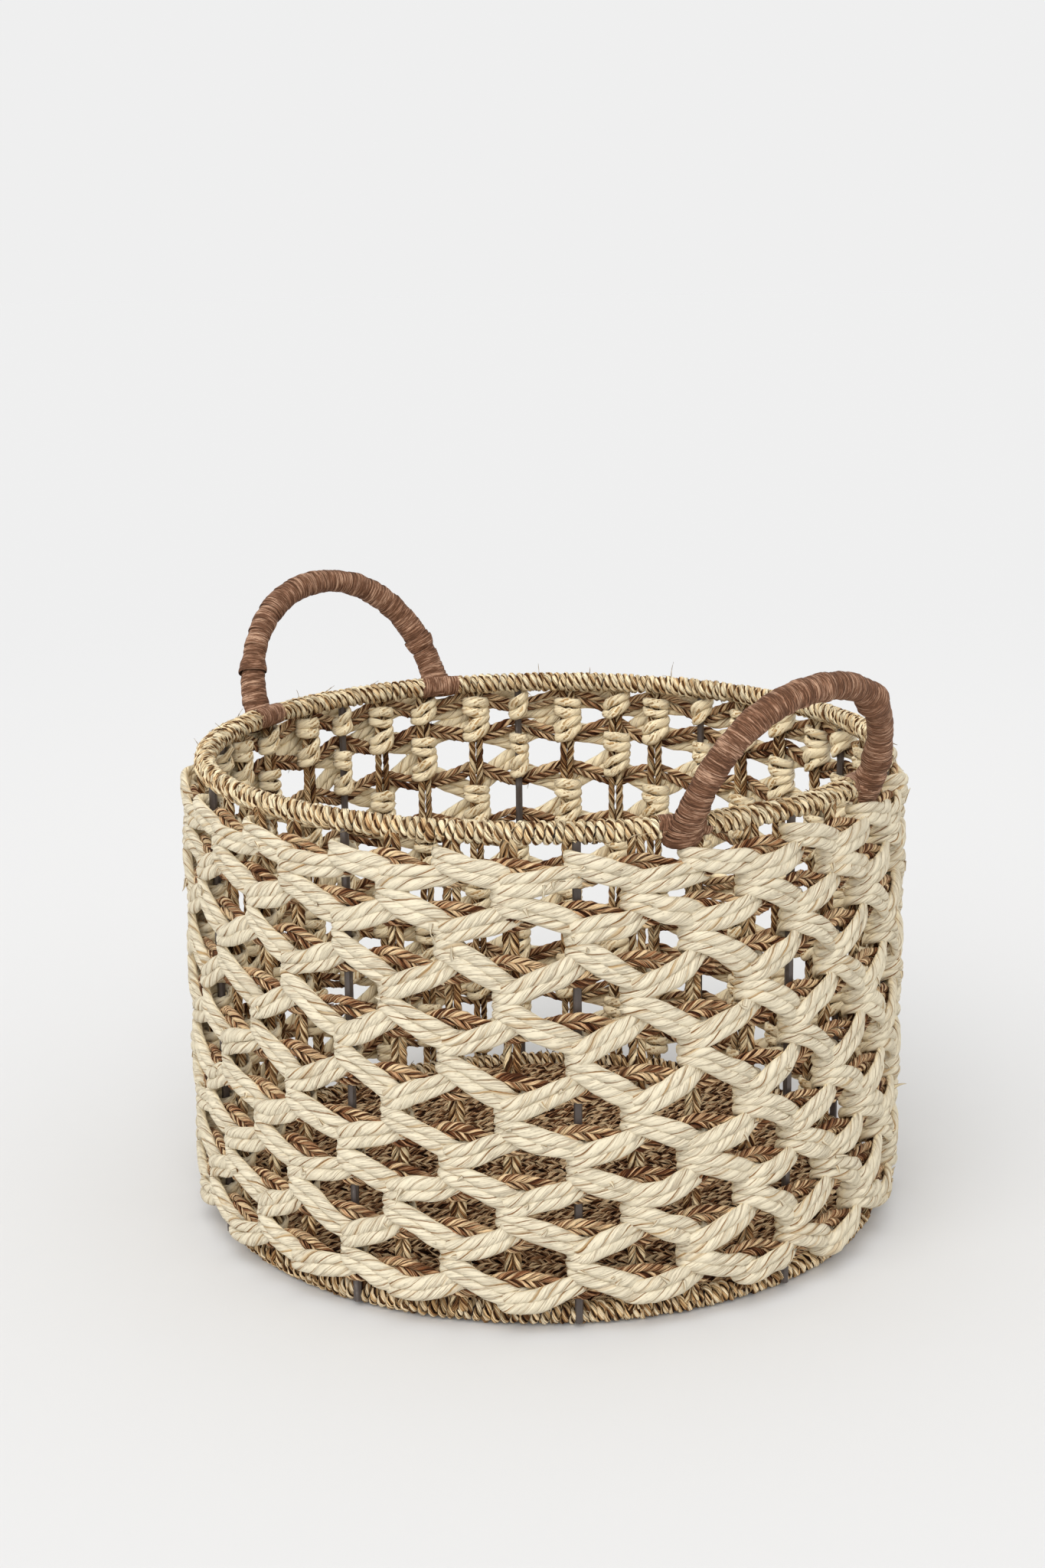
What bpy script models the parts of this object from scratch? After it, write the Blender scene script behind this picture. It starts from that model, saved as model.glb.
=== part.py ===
"""Round open-weave laundry basket: a welded steel frame, cord stakes, nine zigzag rows of double cord,
wrapped rims, a flat mat base and two wrapped arch handles.

Metres, +Z up. The origin is the middle of the base on the floor, and the handles stand on -X and +X."""

import math

import bmesh
import bpy
from mathutils import Matrix

# Steel frame
TOP_RING_RADIUS = 0.2050
TOP_RING_HEIGHT = 0.2836
TOP_WIRE = 0.0030
BOTTOM_RING_RADIUS = 0.2016
BOTTOM_RING_HEIGHT = 0.0065
BOTTOM_WIRE = 0.0028
UPRIGHT_RADIUS = 0.2077
UPRIGHT_WIRE = 0.0024
UPRIGHT_FOOT = 0.0035
UPRIGHT_COUNT = 10
HANDLE_WIRE = 0.0026

# Stakes: three pairs of cords between one upright and the next
WARP_COUNT = 40
STAKE_RADIUS = 0.2080
STAKE_WIDTH = 0.0110
STAKE_THICKNESS = 0.0042
STAKE_FOOT = 0.0133
STAKE_TOP = 0.2803
TURN_HEIGHT = 0.0032

# Zigzag rows
ROW_COUNT = 9
LEVELS = (0.2745, 0.2520, 0.2260, 0.1930, 0.1605, 0.1270, 0.0990, 0.0730, 0.0420, 0.0160)
FAR_RISE = (0.0025, 0.0090, 0.0090, 0.0080, 0.0050, 0.0030, 0.0, 0.0, 0.0, 0.0)
NEAR_SIDE = math.radians(-40.7)
CREAM_INNER = 0.2149
CREAM_OUTER = 0.2197
CREAM_HEIGHT = 0.0116
BROWN_INNER = 0.2109
BROWN_OUTER = 0.2145
BROWN_HEIGHT = 0.0090
BROWN_RISE = 0.0044

# Wrapped rims
RIM_HALF = 0.0066
COLLAR_HALF = 0.0072
CHAMFER = 0.0030
RING_ROOM = 0.0033
SLOT_OUT = 0.0057
BASE_RIM_MIDDLE = 0.2023
BASE_RIM_HALF_WIDTH = 0.0067
BASE_RIM_HALF_HEIGHT = 0.0065
BASE_RIM_CHAMFER = 0.0025
BASE_RING_ROOM = 0.0031
BASE_SLOT_HALF = 0.0015

# Base mat
MAT_RADIUS = 0.1952
MAT_LIP_RADIUS = 0.1980
MAT_BOTTOM = 0.0030
MAT_TOP = 0.0090
MAT_LIP_HALF = 0.0011

# Handles: each arch is a superellipse that leans outwards
HANDLE_FOOT_RADIUS = 0.2120
HANDLE_WRAP_RADIUS = 0.0080
HANDLE_SIDES = {
    "left": {"facing": 180.0, "half_angle": 20.4, "height": 0.082, "power": 2.07, "lean": 21.0},
    "right": {"facing": 0.0, "half_angle": 19.7, "height": 0.076, "power": 2.25, "lean": 22.0},
}
COLLAR_HALF_SPAN = 3.4
ARCH_POINTS = 17
RING_STEPS = 40

PAINTED_STEEL = ("painted_steel", (0.080, 0.068, 0.062), 0.45, 0.6)
GOLDEN_SEAGRASS = ("golden_seagrass", (0.380, 0.265, 0.120), 0.80, 0.0)
BROWN_SEAGRASS = ("brown_seagrass", (0.270, 0.150, 0.075), 0.80, 0.0)
CREAM_CORD = ("cream_cord", (0.800, 0.720, 0.480), 0.75, 0.0)
MAT_SEAGRASS = ("mat_seagrass", (0.220, 0.150, 0.075), 0.85, 0.0)
HANDLE_TWINE = ("handle_twine", (0.185, 0.085, 0.050), 0.70, 0.0)


def clear_scene():
    for found in list(bpy.data.objects):
        bpy.data.objects.remove(found, do_unlink=True)


def collection(name):
    made = bpy.data.collections.new(name)
    bpy.context.scene.collection.children.link(made)
    return made


def material(kind):
    name, colour, roughness, metallic = kind
    made = bpy.data.materials.get(name)
    if made is None:
        made = bpy.data.materials.new(name)
        made.use_nodes = True
        shader = made.node_tree.nodes["Principled BSDF"]
        shader.inputs["Base Color"].default_value = (*colour, 1.0)
        shader.inputs["Roughness"].default_value = roughness
        shader.inputs["Metallic"].default_value = metallic
        made.diffuse_color = (*colour, 1.0)
    return made


def add(name, data, kind=None, parts=None):
    made = bpy.data.objects.new(name, data)
    (parts or PARTS).objects.link(made)
    if kind:
        data.materials.append(material(kind))
    return made


def adopt(name, kind):
    """Takes the object that a primitive operator has just made into the parts collection."""
    made = bpy.context.active_object
    made.name = name
    for held in list(made.users_collection):
        held.objects.unlink(made)
    PARTS.objects.link(made)
    made.data.materials.append(material(kind))
    return made


def frozen(source):
    """The evaluated mesh of an object, welded and facing out; the object itself is removed."""
    bpy.context.view_layer.update()
    graph = bpy.context.evaluated_depsgraph_get()
    mesh = bpy.data.meshes.new_from_object(source.evaluated_get(graph))
    mesh.transform(source.matrix_world)
    bpy.data.objects.remove(source, do_unlink=True)
    edit = bmesh.new()
    edit.from_mesh(mesh)
    bmesh.ops.remove_doubles(edit, verts=edit.verts, dist=0.00001)
    open_edges = [edge for edge in edit.edges if edge.is_boundary]
    if open_edges:
        bmesh.ops.holes_fill(edit, edges=open_edges, sides=0)
    bmesh.ops.recalc_face_normals(edit, faces=edit.faces)
    edit.to_mesh(mesh)
    edit.free()
    mesh.materials.clear()
    return mesh


def turned(outline, steps, start=0.0, sweep=360.0):
    """A closed outline of (radius, height) points turned about Z, as a mesh with its ends filled."""
    profile = bpy.data.meshes.new("profile")
    points = [(radius, 0.0, height) for radius, height in outline]
    joins = [(i, (i + 1) % len(points)) for i in range(len(points))]
    profile.from_pydata(points, joins, [])
    holder = add("profile", profile)
    screw = holder.modifiers.new("turn", "SCREW")
    screw.axis = "Z"
    screw.angle = math.radians(sweep)
    screw.steps = steps
    screw.render_steps = steps
    screw.use_merge_vertices = True
    screw.merge_threshold = 0.00001
    holder.rotation_euler.z = math.radians(start)
    return frozen(holder)


def tube(points, radius):
    """A round tube along a run of points, with closed ends, as a curve."""
    line = bpy.data.curves.new("tube", "CURVE")
    line.dimensions = "3D"
    line.bevel_depth = radius
    line.bevel_resolution = 2
    line.use_fill_caps = True
    run = line.splines.new("POLY")
    run.points.add(len(points) - 1)
    for held, point in zip(run.points, points):
        held.co = (*point, 1.0)
    return line


def cut(target, cutter, operation="DIFFERENCE"):
    step = target.modifiers.new(cutter.name, "BOOLEAN")
    step.operation = operation
    step.solver = "EXACT"
    step.object = cutter


def helper(name, mesh):
    made = add(name, mesh, parts=CUTTERS)
    made.hide_render = True
    made.display_type = "WIRE"
    return made


def smooth(made):
    made.data.shade_smooth()
    made.data.set_sharp_from_angle(angle=math.radians(40.0))


def steel_rings():
    for name, radius, wire, height in (
        ("top_ring", TOP_RING_RADIUS, TOP_WIRE, TOP_RING_HEIGHT),
        ("bottom_ring", BOTTOM_RING_RADIUS, BOTTOM_WIRE, BOTTOM_RING_HEIGHT),
    ):
        bpy.ops.mesh.primitive_torus_add(
            major_radius=radius, minor_radius=wire, major_segments=RING_STEPS, minor_segments=8,
            location=(0.0, 0.0, height))
        smooth(adopt(name, PAINTED_STEEL))


def uprights():
    top = TOP_RING_HEIGHT - TOP_WIRE - 0.0004
    length = top - UPRIGHT_FOOT
    for number in range(UPRIGHT_COUNT):
        angle = math.tau * number / UPRIGHT_COUNT
        place = (UPRIGHT_RADIUS * math.cos(angle), UPRIGHT_RADIUS * math.sin(angle), UPRIGHT_FOOT + length / 2)
        bpy.ops.mesh.primitive_cylinder_add(
            vertices=8, radius=UPRIGHT_WIRE, depth=length, location=place, rotation=(0.0, 0.0, angle))
        smooth(adopt(f"upright_{number + 1:02d}", PAINTED_STEEL))


def box_mesh(size, centre):
    mesh = bpy.data.meshes.new("box")
    edit = bmesh.new()
    bmesh.ops.create_cube(edit, size=1.0)
    bmesh.ops.scale(edit, vec=size, verts=edit.verts)
    bmesh.ops.translate(edit, vec=centre, verts=edit.verts)
    edit.to_mesh(mesh)
    edit.free()
    return mesh


def stake_panels():
    """Three stakes that turn over together under the top ring; every panel shares one mesh."""
    step = math.tau / WARP_COUNT
    turn = turned(
        rectangle(STAKE_RADIUS - STAKE_THICKNESS / 2, STAKE_RADIUS + STAKE_THICKNESS / 2 - 0.0006,
                  STAKE_TOP - TURN_HEIGHT, STAKE_TOP),
        3, math.degrees(step), math.degrees(2 * step))
    panel = add("panel", turn)
    length = STAKE_TOP - 0.0002 - STAKE_FOOT
    for number in (1, 2, 3):
        mesh = box_mesh((STAKE_THICKNESS, STAKE_WIDTH, length), (STAKE_RADIUS, 0.0, STAKE_FOOT + length / 2))
        mesh.transform(Matrix.Rotation(number * step, 4, "Z"))
        cut(panel, helper(f"stake_shape_{number}", mesh), "UNION")
    shared = frozen(panel)
    shared.name = "stake_panel"
    shared.materials.append(material(GOLDEN_SEAGRASS))
    for number in range(UPRIGHT_COUNT):
        made = add(f"stake_panel_{number + 1:02d}", shared)
        made.rotation_euler.z = math.tau * number / UPRIGHT_COUNT


def rectangle(inner, outer, low, high):
    return [(outer, high), (outer, low), (inner, low), (inner, high)]


def lozenge(inner, outer, height):
    """A flat six-sided section, as two cords side by side fill."""
    half = height / 2
    middle = (inner + outer) / 2
    return [(outer, half * 0.55), (outer, -half * 0.55), (middle, -half), (inner, -half * 0.55),
            (inner, half * 0.55), (middle, half)]


def level(number, warp):
    """Height at which two rows meet on a warp; the upper rows climb towards the far side."""
    turn = math.tau * warp / WARP_COUNT - NEAR_SIDE
    return LEVELS[number] + FAR_RISE[number] * (1 - math.cos(turn)) / 2


def zigzag(outline, heights):
    """A turned ring with one corner at each warp, each lifted to its own height."""
    mesh = turned(outline, WARP_COUNT)
    for vertex in mesh.vertices:
        warp = round(math.atan2(vertex.co.y, vertex.co.x) / math.tau * WARP_COUNT) % WARP_COUNT
        vertex.co.z += heights[warp]
    return mesh


def rows():
    reach = CREAM_HEIGHT / 2 + 0.00015
    half = BROWN_HEIGHT / 2
    for number in range(1, ROW_COUNT + 1):
        cream, brown = [], []
        for warp in range(WARP_COUNT):
            upper, lower = level(number - 1, warp), level(number, warp)
            peak = (number + warp) % 2 == 1
            cream.append(upper - reach if peak else lower + reach)
            brown.append((upper + lower) / 2 + (-BROWN_RISE if peak else BROWN_RISE))
        add(f"cream_row_{number}", zigzag(lozenge(CREAM_INNER, CREAM_OUTER, CREAM_HEIGHT), cream), CREAM_CORD)
        add(f"brown_row_{number}", zigzag(rectangle(BROWN_INNER, BROWN_OUTER, -half, half), brown), BROWN_SEAGRASS)


def ring_room(low):
    """The outline of the room kept for the top ring and, under it, for the uprights' and stakes' tops."""
    r, z, a = TOP_RING_RADIUS, TOP_RING_HEIGHT, RING_ROOM
    b = a * 0.414
    return [(r + b, z + a), (r + a, z + b), (r + a, z - 0.0016), (r + SLOT_OUT, z - 0.0016), (r + SLOT_OUT, low),
            (r, low), (r, z - a), (r - b, z - a), (r - a, z - b), (r - a, z + b), (r - b, z + a)]


def rim_outline(half):
    r, z, c = TOP_RING_RADIUS, TOP_RING_HEIGHT, CHAMFER
    return [(r + half - c, z + half), (r + half, z + half - c), (r + half, z - half + c), (r + half - c, z - half),
            (r - half + c, z - half), (r - half, z - half + c), (r - half, z + half - c), (r - half + c, z + half)]


def rim_wraps(room):
    left = HANDLE_SIDES["left"]["half_angle"]
    right = HANDLE_SIDES["right"]["half_angle"]
    gap = 0.2
    span = COLLAR_HALF_SPAN
    arcs = {
        "rim_wrap_right": (-right + span + gap, right - span - gap, 3),
        "rim_wrap_back": (right + span + gap, 180.0 - left - span - gap, 14),
        "rim_wrap_left": (180.0 - left + span + gap, 180.0 + left - span - gap, 3),
        "rim_wrap_front": (180.0 + left + span + gap, 360.0 - right - span - gap, 14),
    }
    for name, (start, end, steps) in arcs.items():
        made = add(name, turned(rim_outline(RIM_HALF), steps, start, end - start), GOLDEN_SEAGRASS)
        cut(made, room)


def base_rim():
    r, z = BASE_RIM_MIDDLE, BASE_RIM_HALF_HEIGHT
    w, h, c = BASE_RIM_HALF_WIDTH, BASE_RIM_HALF_HEIGHT, BASE_RIM_CHAMFER
    q, a = BOTTOM_RING_RADIUS, BASE_RING_ROOM
    b, s = a * 0.414, BASE_SLOT_HALF
    outline = [(r + w - c, z + h), (r + w, z + h - c), (r + w, z - h + c), (r + w - c, z - h),
               (r - w + c, z - h), (r - w, z - h + c), (r - w, z - s), (q - a, z - s),
               (q - b, z - a), (q + b, z - a), (q + a, z - b), (q + a, z + b), (q + b, z + a), (q - b, z + a),
               (q - a, z + s), (r - w, z + s), (r - w, z + h - c), (r - w + c, z + h)]
    made = add("base_rim_wrap", turned(outline, RING_STEPS), GOLDEN_SEAGRASS)
    for number in range(UPRIGHT_COUNT):
        angle = math.tau * number / UPRIGHT_COUNT
        mesh = bpy.data.meshes.new("groove")
        edit = bmesh.new()
        bmesh.ops.create_cone(edit, cap_ends=True, segments=8, radius1=UPRIGHT_WIRE + 0.0003,
                              radius2=UPRIGHT_WIRE + 0.0003, depth=0.012)
        bmesh.ops.translate(edit, vec=(UPRIGHT_RADIUS, 0.0, UPRIGHT_FOOT - 0.0003 + 0.006), verts=edit.verts)
        bmesh.ops.rotate(edit, matrix=Matrix.Rotation(angle, 3, "Z"), verts=edit.verts)
        edit.to_mesh(mesh)
        edit.free()
        cut(made, helper(f"groove_{number + 1:02d}", mesh))


def base_mat():
    r, q = MAT_RADIUS, MAT_LIP_RADIUS
    z, s = BOTTOM_RING_HEIGHT, MAT_LIP_HALF
    profile = bpy.data.meshes.new("profile")
    points = [(0.0, 0.0, MAT_TOP), (r, 0.0, MAT_TOP), (r, 0.0, z + s), (q, 0.0, z + s), (q, 0.0, z - s),
              (r, 0.0, z - s), (r, 0.0, MAT_BOTTOM), (0.0, 0.0, MAT_BOTTOM)]
    profile.from_pydata(points, [(i, i + 1) for i in range(len(points) - 1)], [])
    made = add("base_mat", profile, MAT_SEAGRASS)
    screw = made.modifiers.new("turn", "SCREW")
    screw.axis = "Z"
    screw.steps = RING_STEPS
    screw.render_steps = RING_STEPS
    screw.use_merge_vertices = True
    screw.merge_threshold = 0.00001


def arch(side, drop):
    """Points along a handle's middle line, from one foot to the other, reaching drop below the ring's middle."""
    facing = math.radians(side["facing"])
    half_angle = math.radians(side["half_angle"])
    half_width = HANDLE_FOOT_RADIUS * math.sin(half_angle)
    reach = HANDLE_FOOT_RADIUS * math.cos(half_angle)
    points = []
    for number in range(ARCH_POINTS):
        t = math.pi * number / (ARCH_POINTS - 1)
        across = half_width * math.copysign(abs(math.cos(t)) ** (2 / side["power"]), math.cos(t))
        up = side["height"] * math.sin(t) ** (2 / side["power"])
        points.append((across, up))
    lean = math.radians(side["lean"])
    slant = drop / math.cos(lean)
    points = [(points[0][0], -slant)] + points + [(points[-1][0], -slant)]
    placed = []
    for across, up in points:
        out = reach + up * math.sin(lean)
        height = TOP_RING_HEIGHT + up * math.cos(lean)
        placed.append((out * math.cos(facing) - across * math.sin(facing),
                       out * math.sin(facing) + across * math.cos(facing), height))
    return placed


def handles(room):
    for word, side in HANDLE_SIDES.items():
        rod = add(f"handle_rod_{word}", tube(arch(side, 0.0022), HANDLE_WIRE))
        rod_mesh = frozen(rod)
        rod_mesh.materials.append(material(PAINTED_STEEL))
        smooth(add(f"handle_rod_{word}", rod_mesh))
        wrap = add("wrap", tube(arch(side, 0.0035), HANDLE_WRAP_RADIUS))
        made = add(f"handle_wrap_{word}", frozen(wrap), HANDLE_TWINE)
        for sign in (-1, 1):
            middle = side["facing"] + sign * side["half_angle"]
            collar = turned(rim_outline(COLLAR_HALF), 3, middle - COLLAR_HALF_SPAN, 2 * COLLAR_HALF_SPAN)
            cut(made, helper(f"collar_{word}_{'ab'[sign > 0]}", collar), "UNION")
        cut(made, room)
        rod_room = add("rod_room", tube(arch(side, 0.0028), HANDLE_WIRE + 0.0003))
        cut(made, helper(f"rod_room_{word}", frozen(rod_room)))


clear_scene()
PARTS = collection("laundry_basket")
CUTTERS = collection("cutters")
steel_rings()
uprights()
stake_panels()
rows()
ring_space = helper("ring_room", turned(ring_room(TOP_RING_HEIGHT - 0.012), RING_STEPS))
rim_wraps(ring_space)
base_rim()
base_mat()
handles(ring_space)
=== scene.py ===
import math
import random

import bpy
import numpy as np
from mathutils import Matrix, Vector


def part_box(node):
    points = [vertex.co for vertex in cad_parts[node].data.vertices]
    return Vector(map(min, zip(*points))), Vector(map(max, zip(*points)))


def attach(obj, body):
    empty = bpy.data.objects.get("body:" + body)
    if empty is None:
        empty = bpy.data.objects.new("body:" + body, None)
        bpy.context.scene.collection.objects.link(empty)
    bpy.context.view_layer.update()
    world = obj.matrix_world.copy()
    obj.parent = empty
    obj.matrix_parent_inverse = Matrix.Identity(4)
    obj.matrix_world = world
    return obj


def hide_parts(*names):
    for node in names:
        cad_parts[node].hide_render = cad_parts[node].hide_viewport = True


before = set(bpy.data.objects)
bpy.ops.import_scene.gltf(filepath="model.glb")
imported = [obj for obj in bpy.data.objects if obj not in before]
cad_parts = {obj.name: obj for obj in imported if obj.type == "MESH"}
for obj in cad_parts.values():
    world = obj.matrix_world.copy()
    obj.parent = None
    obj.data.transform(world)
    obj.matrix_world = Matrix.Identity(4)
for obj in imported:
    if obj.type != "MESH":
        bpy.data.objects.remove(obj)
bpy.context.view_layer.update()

bl_info = {
    "name": "Open-weave Laundry Basket",
    "version": (1, 0, 0),
    "blender": (4, 5, 0),
    "location": "View3D > Sidebar > Basket",
    "description": "Cord rows, stakes, wound rims, mat and wrapped handles around a wire basket frame",
    "category": "Add Mesh",
}

MM = 0.001
TOP_LOW, TOP_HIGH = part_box("top_ring")
TOP_HEIGHT = (TOP_LOW[2] + TOP_HIGH[2]) / 2
TOP_WIRE = (TOP_HIGH[2] - TOP_LOW[2]) / 2
TOP_RADIUS = TOP_HIGH[0] - TOP_WIRE
FOOT_LOW, FOOT_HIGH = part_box("bottom_ring")
FOOT_HEIGHT = (FOOT_LOW[2] + FOOT_HIGH[2]) / 2
MAT_LOW, MAT_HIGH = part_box("base_mat")

WARPS = 40
ROWS = 9
STEP = math.tau / WARPS
UP = np.array([0.0, 0.0, 1.0])
SIGHT = math.radians(-40.73)  # the side of the basket that faces the camera
# Heights of the crossings in millimetres, from the top down, and how much higher each is on the far side
LEVELS = (274.5, 252.0, 226.0, 193.0, 160.5, 127.0, 99.0, 73.0, 42.0, 16.0)
FAR_RISE = (2.5, 9.0, 9.0, 8.0, 5.0, 3.0, 0.0, 0.0, 0.0, 0.0)
# Angles in degrees, the height in metres; the power squares the arch's shoulders
HANDLES = {
    "left": {"facing": 180.0, "half_angle": 20.4, "height": 0.082, "power": 2.07, "lean": 21.0},
    "right": {"facing": 0.0, "half_angle": 19.7, "height": 0.076, "power": 2.25, "lean": 22.0},
}
HANDLE_FOOT_RADIUS = 0.2120
COLLAR_HALF_SPAN = 3.4  # degrees of rim that a handle's band covers on each side of its foot
TURNED = ("hand", "phase", "girth", "press", "spread", "bed", "tag")  # numbers held at each point of a path

# Millimetres
STAKE_LINE = 208.0  # radius at which the stakes stand
STAKE_ENDS = (9.0, 282.0)  # heights
BROWN_LINE = 213.0
BAND_LINE = 217.6  # radius of a cream band's outer stretch
BAND_RISE = 7.0  # a cream band's height over the lower crossing, where it reaches a valley
BAND_DROP = -13.6  # and over the upper crossing, where it reaches a peak
UPRIGHT_HALF = 2.4  # half the width that a lap goes round
STAKE_HALF = 5.2
MAT_REACH = 197.0
MAT_PITCH = 4.5
FOOT_LINE = 202.3  # radius of the foot rim's winding
RIM_COIL = 4.5
FOOT_COIL = 4.3
COLLAR_COIL = 6.2
COLLAR_PITCH = 3.4
BAND_RADIUS = 6.9  # radius of a handle with its band

# Metres between the points of a path
CREAM_SPACING = 0.0025
BROWN_SPACING = 0.0021
STAKE_SPACING = 0.0022
RIM_SPACING = 0.0018
COLLAR_SPACING = 0.0026
MAT_SPACING = 0.0031
HANDLE_SPACING = 0.0010

FINE_TURN = 18  # points in one turn of a handle's band
FLOOR_SIDES = 96
FLOOR_RADII = (1.0, 14.0)
LENGTH = {"unit": "LENGTH", "subtype": "DISTANCE"}


class BasketSizes(bpy.types.PropertyGroup):
    cream_cord: bpy.props.FloatProperty(
        name="Cream cord", description="Thickness of one of the two cords in a cream band",
        default=0.0062, **LENGTH)
    cream_turn: bpy.props.FloatProperty(
        name="Cream turn", description="Length in which a cream cord's strands turn once",
        default=0.031, **LENGTH)
    brown_cord: bpy.props.FloatProperty(
        name="Brown cord", description="Thickness of one of the two cords in a brown row",
        default=0.0051, **LENGTH)
    seagrass_turn: bpy.props.FloatProperty(
        name="Seagrass turn", description="Length in which a seagrass cord's strands turn once",
        default=0.019, **LENGTH)
    stake_cord: bpy.props.FloatProperty(
        name="Stake cord", description="Thickness of one of the two cords in a stake",
        default=0.0050, **LENGTH)
    rim_cord: bpy.props.FloatProperty(
        name="Rim cord", description="Thickness of the cord wound round both rims",
        default=0.0052, **LENGTH)
    rim_pitch: bpy.props.FloatProperty(
        name="Rim pitch", description="Distance from one turn of the rim's winding to the next",
        default=0.0052, **LENGTH)
    mat_cord: bpy.props.FloatProperty(
        name="Mat cord", description="Thickness of the cords laid across the base mat",
        default=0.0048, **LENGTH)
    twine_pitch: bpy.props.FloatProperty(
        name="Twine pitch", description="Distance from one turn of the handle's band to the next",
        default=0.0028, **LENGTH)


class BasketColours(bpy.types.PropertyGroup):
    cream: bpy.props.FloatVectorProperty(
        name="Cream", description="Cream husk cord", subtype="COLOR", default=(0.735, 0.655, 0.490))
    golden: bpy.props.FloatVectorProperty(
        name="Golden seagrass", description="Winding of the top rim", subtype="COLOR", default=(0.97, 0.715, 0.395))
    brown: bpy.props.FloatVectorProperty(
        name="Brown seagrass", description="Rows under the cream", subtype="COLOR", default=(0.52, 0.277, 0.137))
    twine: bpy.props.FloatVectorProperty(
        name="Handle twine", description="Band wound round the handles", subtype="COLOR",
        default=(0.285, 0.137, 0.078))
    steel: bpy.props.FloatVectorProperty(
        name="Painted steel", description="Rods of the frame", subtype="COLOR", default=(0.105, 0.087, 0.079))


# ---- node building

class Sheet:
    """A node tree being laid out."""

    def __init__(self, tree):
        self.tree = tree

    def node(self, kind, settings=None, *values, **named):
        made = self.tree.nodes.new(kind)
        for word, value in (settings or {}).items():
            if word == "stops":
                self.set_stops(made.color_ramp, value)
            else:
                setattr(made, word, value)
        for place, value in list(enumerate(values)) + list(named.items()):
            if value is None:
                continue
            socket = made.inputs[place] if isinstance(place, int) else made.inputs[place.replace("_", " ")]
            self.feed(socket, value)
        return made

    def set_stops(self, ramp, stops):
        while len(ramp.elements) < len(stops):
            ramp.elements.new(0.5)
        for element, (place, colour) in zip(ramp.elements, stops):
            element.position = place
            element.color = (*colour, 1.0)

    def feed(self, socket, value):
        if isinstance(value, Signal):
            value = value.socket
        if isinstance(value, bpy.types.NodeSocket):
            self.tree.links.new(value, socket)
        else:
            socket.default_value = value

    def signal(self, socket):
        return Signal(self, socket)

    def vector(self, operation, *values, scale=None):
        made = self.node("ShaderNodeVectorMath", {"operation": operation}, *values)
        if scale is not None:
            self.feed(made.inputs["Scale"], scale)
        if operation in ("DOT_PRODUCT", "LENGTH"):
            return self.signal(made.outputs["Value"])
        return made.outputs["Vector"]

    def attribute(self, name):
        """A number that the mesh holds under this name."""
        return self.signal(self.node("ShaderNodeAttribute", {"attribute_name": name}).outputs["Fac"])

    def noise(self, place, scale, detail, **named):
        return self.signal(self.node("ShaderNodeTexNoise", None, place, Scale=scale, Detail=detail,
                                     **named).outputs["Fac"])

    def mix(self, factor, first, second, blend="MIX"):
        """The first colour turned into the second by the factor."""
        made = self.node("ShaderNodeMix", {"data_type": "RGBA", "blend_type": blend})
        for number, value in ((0, factor), (6, first), (7, second)):
            self.feed(made.inputs[number], (*value, 1.0) if isinstance(value, tuple) else value)
        return made.outputs[2]


class Signal:
    """A number on a socket; arithmetic on it adds Math nodes."""

    def __init__(self, sheet, socket):
        self.sheet = sheet
        self.socket = socket

    def join(self, operation, *others):
        made = self.sheet.node("ShaderNodeMath", {"operation": operation}, *others)
        return Signal(self.sheet, made.outputs[0])

    def __add__(self, other):
        return self.join("ADD", self, other)

    __radd__ = __add__

    def __sub__(self, other):
        return self.join("SUBTRACT", self, other)

    def __rsub__(self, other):
        return self.join("SUBTRACT", other, self)

    def __mul__(self, other):
        return self.join("MULTIPLY", self, other)

    __rmul__ = __mul__

    def __truediv__(self, other):
        return self.join("DIVIDE", self, other)

    def maths(self, operation, *others):
        """Any other operation of a Math node, with this number first."""
        return self.join(operation, self, *others)

    def between(self, low, high, start=0.0, end=1.0):
        """Runs smoothly from start to end while the number goes from low to high."""
        made = self.sheet.node(
            "ShaderNodeMapRange", {"interpolation_type": "SMOOTHSTEP"}, self, low, high, start, end)
        return Signal(self.sheet, made.outputs[0])


# ---- the cord tree

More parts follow.
